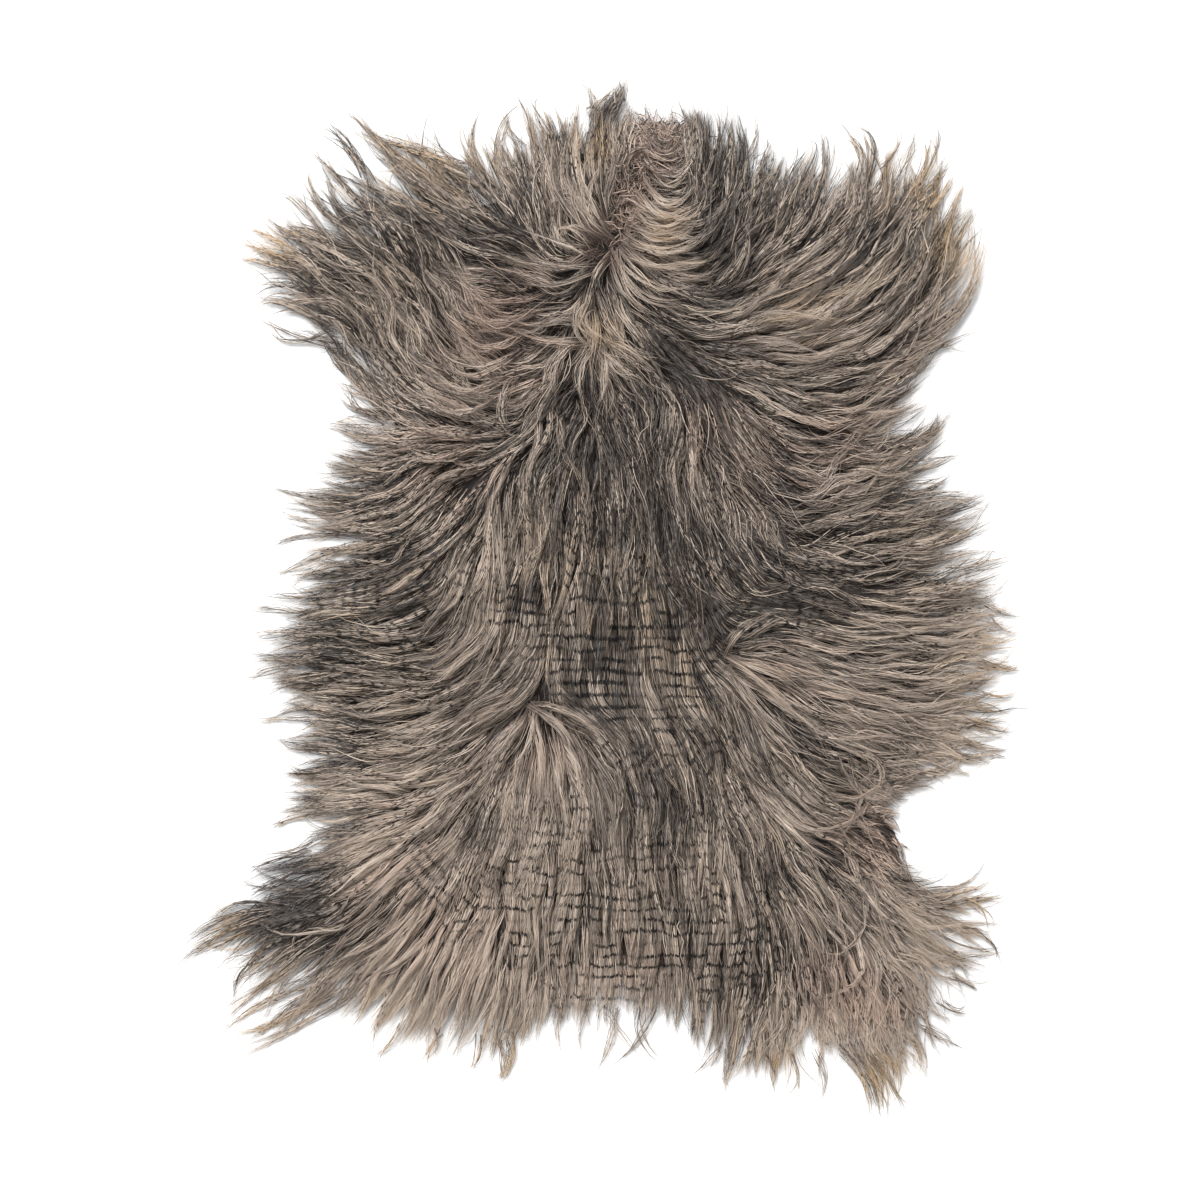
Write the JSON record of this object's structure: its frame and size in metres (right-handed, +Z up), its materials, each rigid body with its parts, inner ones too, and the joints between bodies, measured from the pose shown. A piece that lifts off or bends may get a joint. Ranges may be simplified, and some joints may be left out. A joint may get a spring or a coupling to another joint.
{
  "type": "goatskin",
  "caption": "Long-haired goatskin laid flat, hair side up, with neck, leg and rump outline, a lumpy combed fleece and loose locks all round the rim.",
  "frame": {"origin": "on the floor under the middle of the whole skin's box, locks included", "axes": "+Z up out of the hair side, +Y from the rump to the neck along the longest extent, +X to the right seen from above with the neck at the top"},
  "size_m": [0.864, 1.0376, 0.0515],
  "materials": {
    "leather": "tanned goat leather, dark at its cut edge, matt suede on the flesh side",
    "hair": "long wavy goat hair, warm taupe with short grey-black dashes in rows across it"
  },
  "bodies": {
    "root": {"skin": "leather", "fleece": "hair"}
  },
  "joints": []
}
